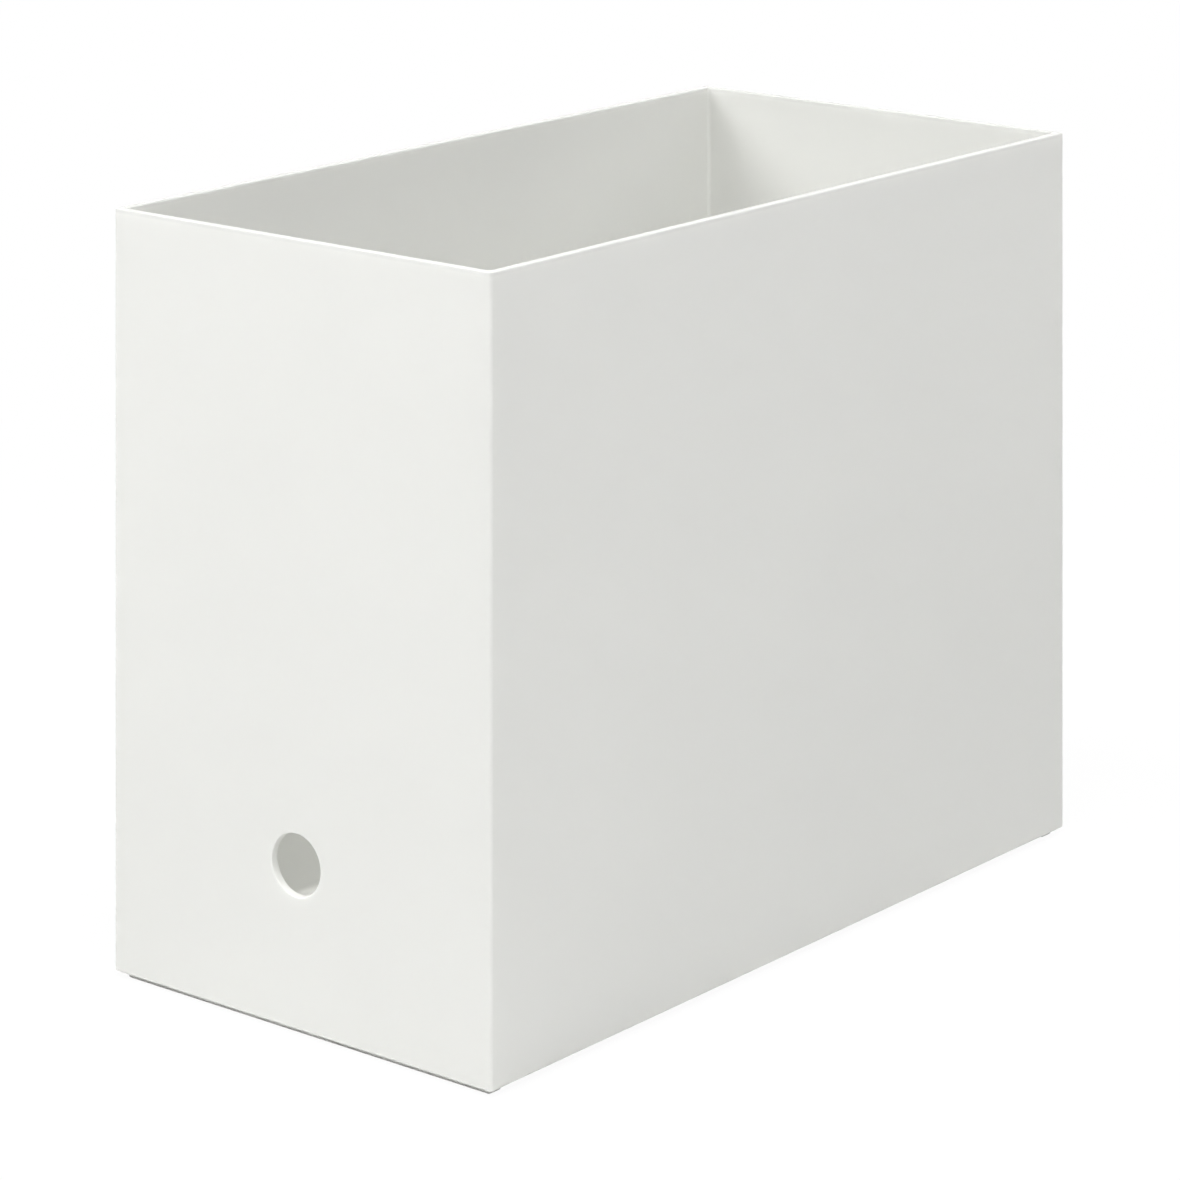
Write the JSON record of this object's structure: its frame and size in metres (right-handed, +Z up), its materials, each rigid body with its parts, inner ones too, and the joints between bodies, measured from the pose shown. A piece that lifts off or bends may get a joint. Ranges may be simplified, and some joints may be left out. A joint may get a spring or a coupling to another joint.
{
  "type": "open-topped plastic file box",
  "caption": "Upright open-topped box of pale grey matte plastic for A4 folders, with thin walls, a small round finger hole low in one narrow end and low foot bars underneath.",
  "frame": {"origin": "centre of the footprint, on the surface that the foot bars stand on", "axes": "+Z up, X across the width of the box, Y along its depth, with the finger hole in the narrow wall at -Y"},
  "size_m": [0.148, 0.32, 0.24],
  "materials": {
    "polypropylene": "fine matte moulded surface, warm pale grey, solid colour through"
  },
  "bodies": {
    "root": {"file_box": "polypropylene"}
  },
  "joints": []
}
